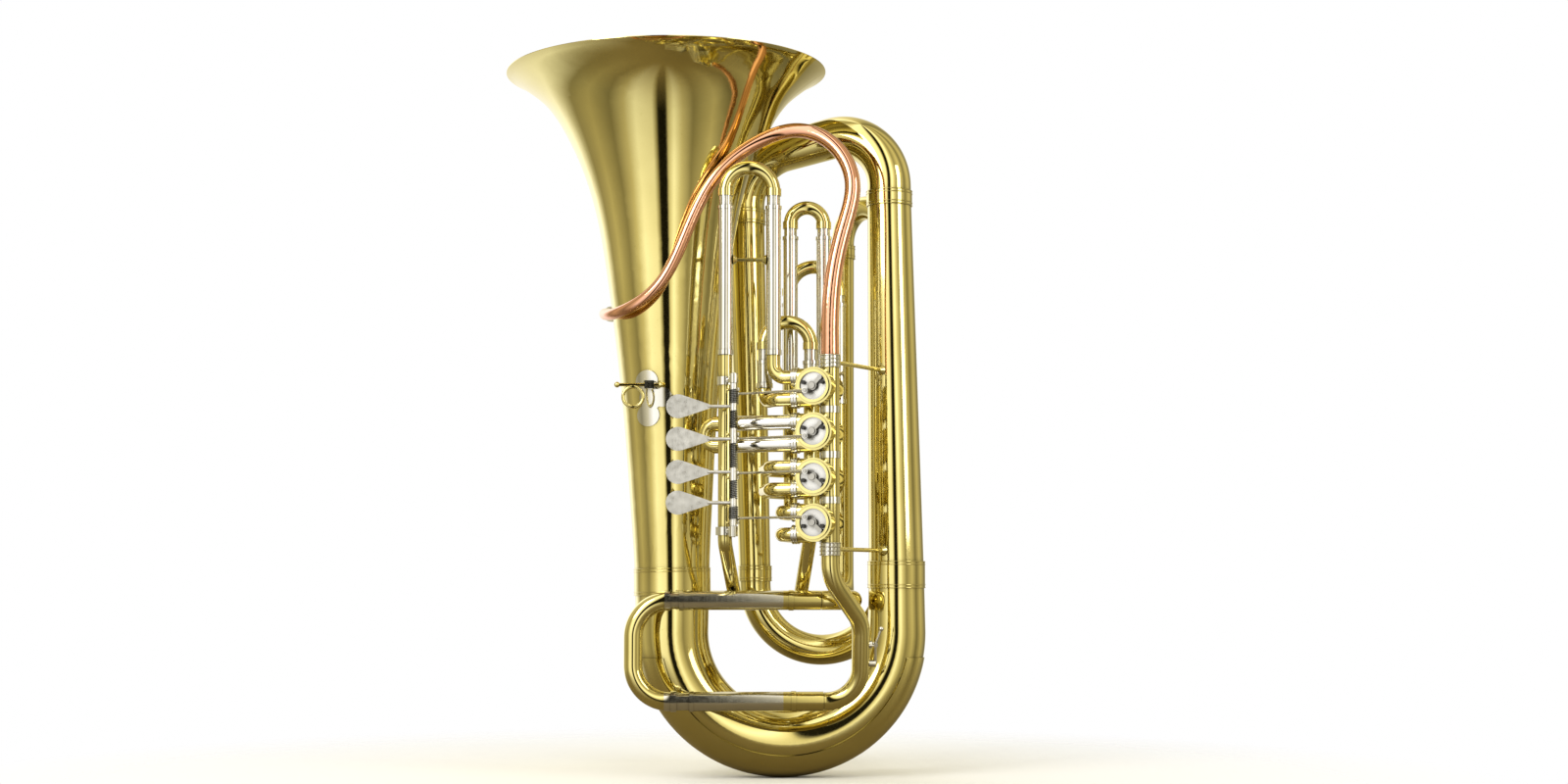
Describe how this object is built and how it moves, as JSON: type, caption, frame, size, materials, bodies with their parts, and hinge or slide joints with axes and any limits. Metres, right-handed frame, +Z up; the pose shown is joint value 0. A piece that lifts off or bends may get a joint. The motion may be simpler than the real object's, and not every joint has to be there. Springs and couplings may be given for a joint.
{
  "type": "concert tuba",
  "caption": "Upright brass tuba with rotary valves, finger levers, tuning slides, a wide flared bell and a curved bottom bow.",
  "frame": {"origin": "middle of the base of the box round the whole instrument, level with the lowest point of the guard plate", "axes": "+Z up to the bell mouth, +X from the bell towards the main branch, -Y towards the valves and levers"},
  "size_m": [0.5363, 0.4102, 0.8997],
  "materials": {
    "yellow_brass": "clear lacquer over polished yellow brass",
    "nickel_silver": "polished nickel silver",
    "red_brass": "clear lacquer over polished red brass",
    "rotor_brass": "fine machined",
    "spring_steel": "blued wire",
    "bumper_rubber": "matt"
  },
  "bodies": {
    "horn": {"bearing_plates": "nickel_silver", "bell": "yellow_brass", "bell_ferrule": "yellow_brass", "bottom_bow": "yellow_brass", "bow_guard": "yellow_brass", "braces": "yellow_brass", "branch_ferrules": "yellow_brass", "first_loop": "yellow_brass", "fourth_branch": "yellow_brass", "fourth_loop": "yellow_brass", "lever_axle": "nickel_silver", "lever_brackets": "nickel_silver", "lever_springs": "spring_steel", "line_ferrules": "nickel_silver", "lower_tube": "yellow_brass", "main_branch": "yellow_brass", "main_slide_sleeves": "nickel_silver", "mouthpiece_receiver": "nickel_silver", "mouthpipe": "red_brass", "second_bow": "yellow_brass", "second_branch": "yellow_brass", "second_top_bow": "yellow_brass", "slide_sleeves": "nickel_silver", "stop_bumpers": "bumper_rubber", "third_branch": "yellow_brass", "third_loop": "yellow_brass", "thumb_ring_plate": "nickel_silver", "top_bow": "yellow_brass", "valve_caps": "yellow_brass", "valve_casing_1": "yellow_brass", "valve_casing_2": "yellow_brass", "valve_casing_3": "yellow_brass", "valve_casing_4": "yellow_brass", "water_key_seat": "nickel_silver"},
    "lever_1_body": {"lever_1": "nickel_silver"},
    "rotor_1_body": {"valve_rotor_1": "rotor_brass", "stop_arm_1": "nickel_silver"},
    "link_1_body": {"link_rod_1": "nickel_silver"},
    "lever_2_body": {"lever_2": "nickel_silver"},
    "rotor_2_body": {"valve_rotor_2": "rotor_brass", "stop_arm_2": "nickel_silver"},
    "link_2_body": {"link_rod_2": "nickel_silver"},
    "lever_3_body": {"lever_3": "nickel_silver"},
    "rotor_3_body": {"valve_rotor_3": "rotor_brass", "stop_arm_3": "nickel_silver"},
    "link_3_body": {"link_rod_3": "nickel_silver"},
    "lever_4_body": {"lever_4": "nickel_silver"},
    "rotor_4_body": {"valve_rotor_4": "rotor_brass", "stop_arm_4": "nickel_silver"},
    "link_4_body": {"link_rod_4": "nickel_silver"},
    "main_slide": {"main_slide_bow": "yellow_brass", "main_slide_legs": "nickel_silver"},
    "first_slide_body": {"first_slide": "yellow_brass"},
    "second_slide_body": {"second_slide": "yellow_brass"},
    "third_slide_body": {"third_slide": "yellow_brass"},
    "fourth_slide_body": {"fourth_slide": "yellow_brass"},
    "short_slide_body": {"short_slide": "yellow_brass"},
    "water_key_body": {"water_key": "nickel_silver"},
    "thumb_ring_body": {"thumb_ring": "yellow_brass"}
  },
  "joints": [
    {"name": "lever_1_press", "type": "hinge", "parent": "horn", "child": "lever_1_body", "pos_m": [0.0257, -0.14, 0.45546], "axis": [0, 0, 1], "range_deg": [-22.94, 0]},
    {"name": "rotor_1_turn", "type": "hinge", "parent": "horn", "child": "rotor_1_body", "pos_m": [0.1303, -0.1287, 0.47986], "axis": [-0.342, -0.9397, 0], "range_deg": [0, 90.18]},
    {"name": "link_1_swing", "type": "hinge", "parent": "rotor_1_body", "child": "link_1_body", "pos_m": [0.11132, -0.16223, 0.4735], "axis": [-0.342, -0.9397, 0], "range_deg": [-90.18, 0]},
    {"name": "lever_2_press", "type": "hinge", "parent": "horn", "child": "lever_2_body", "pos_m": [0.0257, -0.14, 0.41596], "axis": [0, 0, 1], "range_deg": [-22.94, 0]},
    {"name": "rotor_2_turn", "type": "hinge", "parent": "horn", "child": "rotor_2_body", "pos_m": [0.1303, -0.1287, 0.42486], "axis": [-0.342, -0.9397, 0], "range_deg": [0, 90.18]},
    {"name": "link_2_swing", "type": "hinge", "parent": "rotor_2_body", "child": "link_2_body", "pos_m": [0.11132, -0.16223, 0.4185], "axis": [-0.342, -0.9397, 0], "range_deg": [-90.18, 0]},
    {"name": "lever_3_press", "type": "hinge", "parent": "horn", "child": "lever_3_body", "pos_m": [0.0257, -0.14, 0.37596], "axis": [0, 0, 1], "range_deg": [-22.94, 0]},
    {"name": "rotor_3_turn", "type": "hinge", "parent": "horn", "child": "rotor_3_body", "pos_m": [0.1303, -0.1287, 0.36986], "axis": [-0.342, -0.9397, 0], "range_deg": [-90.18, 0]},
    {"name": "link_3_swing", "type": "hinge", "parent": "rotor_3_body", "child": "link_3_body", "pos_m": [0.11132, -0.16223, 0.37622], "axis": [-0.342, -0.9397, 0], "range_deg": [0, 90.18]},
    {"name": "lever_4_press", "type": "hinge", "parent": "horn", "child": "lever_4_body", "pos_m": [0.0257, -0.14, 0.33896], "axis": [0, 0, 1], "range_deg": [-22.94, 0]},
    {"name": "rotor_4_turn", "type": "hinge", "parent": "horn", "child": "rotor_4_body", "pos_m": [0.1303, -0.1287, 0.31486], "axis": [-0.342, -0.9397, 0], "range_deg": [-90.18, 0]},
    {"name": "link_4_swing", "type": "hinge", "parent": "rotor_4_body", "child": "link_4_body", "pos_m": [0.11132, -0.16223, 0.32122], "axis": [-0.342, -0.9397, 0], "range_deg": [0, 90.18]},
    {"name": "main_tuning_pull", "type": "slide", "parent": "horn", "child": "main_slide", "axis": [-1, 0, 0], "range_m": [0, 0.075]},
    {"name": "first_slide_pull", "type": "slide", "parent": "horn", "child": "first_slide_body", "axis": [0, 0, 1], "range_m": [0, 0.055]},
    {"name": "second_slide_pull", "type": "slide", "parent": "horn", "child": "second_slide_body", "axis": [-0.9397, 0.342, 0], "range_m": [0, 0.015]},
    {"name": "third_slide_pull", "type": "slide", "parent": "horn", "child": "third_slide_body", "axis": [0, 0, 1], "range_m": [0, 0.07]},
    {"name": "fourth_slide_pull", "type": "slide", "parent": "horn", "child": "fourth_slide_body", "axis": [0, 0, 1], "range_m": [0, 0.085]},
    {"name": "short_slide_pull", "type": "slide", "parent": "horn", "child": "short_slide_body", "axis": [0, 0, 1], "range_m": [0, 0.022]},
    {"name": "thumb_ring_shift", "type": "slide", "parent": "horn", "child": "thumb_ring_body", "axis": [1, 0, 0], "range_m": [-0.004, 0.002]},
    {"name": "water_key_open", "type": "hinge", "parent": "horn", "child": "water_key_body", "pos_m": [0.2007, -0.08475, 0.16741], "axis": [0, -0.9659, -0.2589], "range_deg": [0, 18]}
  ],
  "couplings": [
    {"joint": "rotor_1_turn", "follows": "lever_1_press", "ratio": -3.9233},
    {"joint": "link_1_swing", "follows": "lever_1_press", "ratio": 3.9233},
    {"joint": "rotor_2_turn", "follows": "lever_2_press", "ratio": -3.9233},
    {"joint": "link_2_swing", "follows": "lever_2_press", "ratio": 3.9233},
    {"joint": "rotor_3_turn", "follows": "lever_3_press", "ratio": 3.9233},
    {"joint": "link_3_swing", "follows": "lever_3_press", "ratio": -3.9233},
    {"joint": "rotor_4_turn", "follows": "lever_4_press", "ratio": 3.9233},
    {"joint": "link_4_swing", "follows": "lever_4_press", "ratio": -3.9233}
  ]
}
